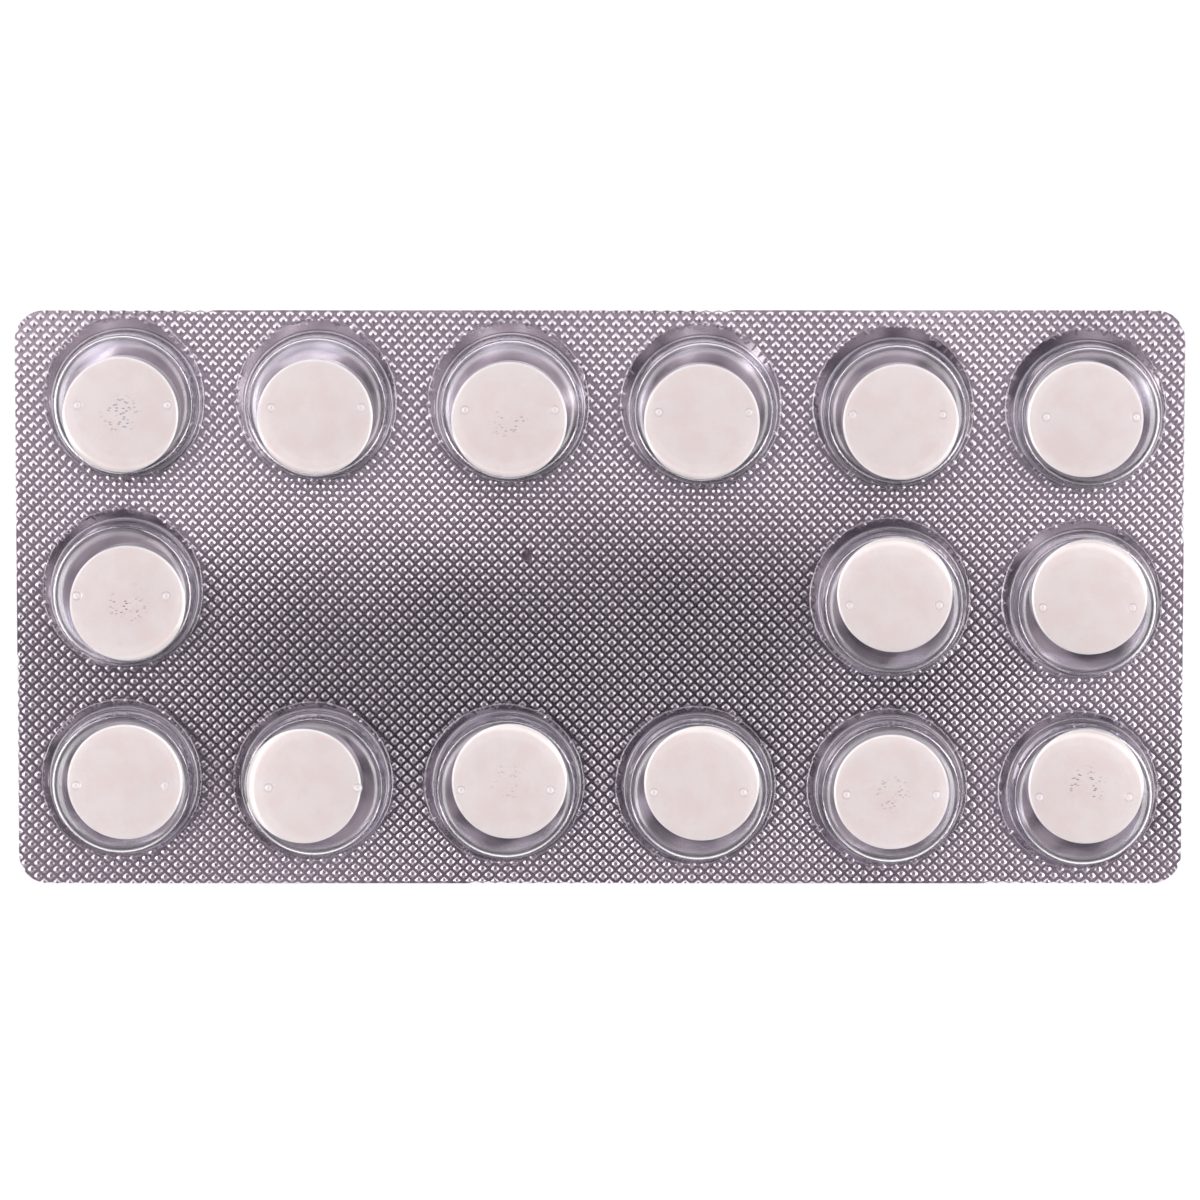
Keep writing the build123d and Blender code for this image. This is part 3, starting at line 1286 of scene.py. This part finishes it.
@dataclass
class Studio:
    """Plain floor, a soft tent of light with a dim opening over the card, two softboxes and the camera.

    The tent is found by chance alone and the floor's glow is never sampled as a lamp, because clear film
    stands between them and nearly everything else. That saves render time.
    """

    camera_distance: float = 0.60
    camera_tilt: float = math.radians(5.0)
    aim_height: float = 0.0025
    field_width: float = 0.12092
    sensor: float = 36.0
    floor_size: float = 6.0
    floor_drop: float = 0.0003
    floor_color: tuple[float, ...] = (0.95, 0.95, 0.95, 1.0)
    floor_glow_share: float = 0.6
    tent_color: tuple[float, ...] = (1.70, 1.675, 1.70, 1.0)
    tent_side_color: tuple[float, ...] = (3.70, 3.65, 3.70, 1.0)
    tent_shares: tuple[float, float] = (0.62, 1.20)
    tent_slope: tuple[float, float] = (-0.15, 0.30)
    tent_side_power: float = 4.0
    skirt_color: tuple[float, ...] = (0.36, 0.34, 0.37, 1.0)
    hood_color: tuple[float, ...] = (0.42, 0.385, 0.43, 1.0)
    opening_color: tuple[float, ...] = (0.045, 0.038, 0.055, 1.0)
    opening_centre: tuple[float, float] = (0.0, -0.092)
    opening_edges: tuple[float, float] = (0.09, 0.22)
    hood_edges: tuple[float, float] = (0.34, 0.55)
    skirt_edges: tuple[float, float] = (0.34, 0.60)
    lamp_power: float = 1.10
    lamp_distance: float = 0.70
    lamp_forward: float = -0.12
    lamp_lean: float = math.radians(43.0)
    lamp_size: tuple[float, float] = (0.34, 0.52)

    def _tent(self) -> None:
        """Light the scene with a bright tent, dim low down, grey overhead and dark at its opening."""
        world = bpy.data.worlds.new("studio_tent")
        world.use_nodes = True
        world.node_tree.nodes.clear()
        make = NodeMaker(world.node_tree)
        way = make.add("ShaderNodeTexCoord").outputs["Generated"]
        apart = make.axes(way)
        flat = make.add("ShaderNodeCombineXYZ", X=apart["X"], Y=apart["Y"]).outputs[0]
        centre = (*self.opening_centre, 0.0)
        reach = make.vector_math("DISTANCE", flat, centre).outputs["Value"]
        bearing = make.vector_math("NORMALIZE", flat).outputs[0]
        aside = make.math("POWER", make.axes(bearing)["X"], self.tent_side_power)
        tent = mix_colors(make, aside, self.tent_color, self.tent_side_color)
        share = make.between(make.smooth_range(apart["Y"], *self.tent_slope), *self.tent_shares)
        shaded = make.scaled(tent, share)
        raised = make.smooth_range(apart["Z"], *self.skirt_edges)
        wall = mix_colors(make, raised, self.skirt_color, shaded)
        hood = mix_colors(make, make.smooth_range(reach, *self.hood_edges), self.hood_color, wall)
        color = mix_colors(make, make.smooth_range(reach, *self.opening_edges), self.opening_color, hood)
        light = make.add("ShaderNodeBackground", Color=color, Strength=1.0)
        make.add("ShaderNodeOutputWorld", Surface=light.outputs[0])
        world.cycles.sampling_method = "NONE"
        bpy.context.scene.world = world

    def _softbox(self, side: Side) -> None:
        """Hang one softbox at a side of the card.

        Args:
            side: The side of the card that it hangs on.
        """
        data = bpy.data.lights.new(f"softbox_{side.name.lower()}", "AREA")
        data.shape = "RECTANGLE"
        data.size, data.size_y = self.lamp_size
        data.energy = self.lamp_power
        lamp = bpy.data.objects.new(data.name, data)
        lean = side.value * self.lamp_lean
        lamp.location = (self.lamp_distance * math.sin(lean), self.lamp_forward,
                         self.lamp_distance * math.cos(lean))
        lamp.rotation_euler = (-math.atan2(self.lamp_forward, self.lamp_distance), lean, 0)
        bpy.context.scene.collection.objects.link(lamp)

    def _floor(self) -> None:
        """Lay the plain pale floor, which glows a little to the camera but keeps the card's shadow."""
        half = self.floor_size / 2
        mesh = bpy.data.meshes.new("floor")
        corners = [(-half, -half), (half, -half), (half, half), (-half, half)]
        mesh.from_pydata([(x, y, -self.floor_drop) for x, y in corners], [], [(0, 1, 2, 3)])
        material = bpy.data.materials.new("floor_finish")
        material.use_nodes = True
        material.node_tree.nodes.clear()
        make = NodeMaker(material.node_tree)
        paper = make.add("ShaderNodeBsdfDiffuse", Color=self.floor_color)
        glow = make.add("ShaderNodeEmission", Color=(1.0, 1.0, 1.0, 1.0), Strength=1.0)
        path = make.add("ShaderNodeLightPath").outputs
        seen = make.math("MAXIMUM", path["Is Camera Ray"], path["Is Transmission Ray"])
        seen = make.math("MAXIMUM", seen, path["Is Glossy Ray"])
        share = make.math("MULTIPLY", seen, self.floor_glow_share)
        both = make.add("ShaderNodeMixShader")
        for socket, value in zip(both.inputs, (share, paper.outputs[0], glow.outputs[0])):
            make.feed(socket, value)
        make.add("ShaderNodeOutputMaterial", Surface=both.outputs[0])
        material.cycles.emission_sampling = "NONE"
        mesh.materials.append(material)
        floor = bpy.data.objects.new("floor", mesh)
        bpy.context.scene.collection.objects.link(floor)

    def _camera(self) -> None:
        """Hang the camera above the card, leaning back towards +Y."""
        data = bpy.data.cameras.new("camera")
        data.sensor_width = self.sensor
        data.lens = self.sensor * self.camera_distance / self.field_width
        data.clip_start = 0.01
        camera = bpy.data.objects.new("camera", data)
        camera.location = (0, self.camera_distance * math.sin(self.camera_tilt),
                           self.aim_height + self.camera_distance * math.cos(self.camera_tilt))
        camera.rotation_euler = (-self.camera_tilt, 0, 0)
        bpy.context.scene.collection.objects.link(camera)
        bpy.context.scene.camera = camera

    def build(self) -> None:
        """Set up the floor, the tent, the softboxes and the camera."""
        bpy.context.scene.view_settings.view_transform = "Standard"
        self._tent()
        self._floor()
        for side in Side:
            self._softbox(side)
        self._camera()
        log.info("studio: floor, tent, %d softboxes and camera", len(Side))


def main() -> None:
    """Build every piece and the studio around them."""
    logging.basicConfig(level=logging.INFO, format="%(name)s %(message)s")
    ripple = ripple_group()
    outline = CardOutline.from_frame()
    array = PocketArray()
    LiddingFoil(outline, array).build(FoilFinish().material(ripple))
    Tablets().build(TabletFinish().material(ripple))
    FormedFilm(outline, array).build(FilmFinish().material(ripple))
    Studio().build()


if __name__ == "__main__":
    main()
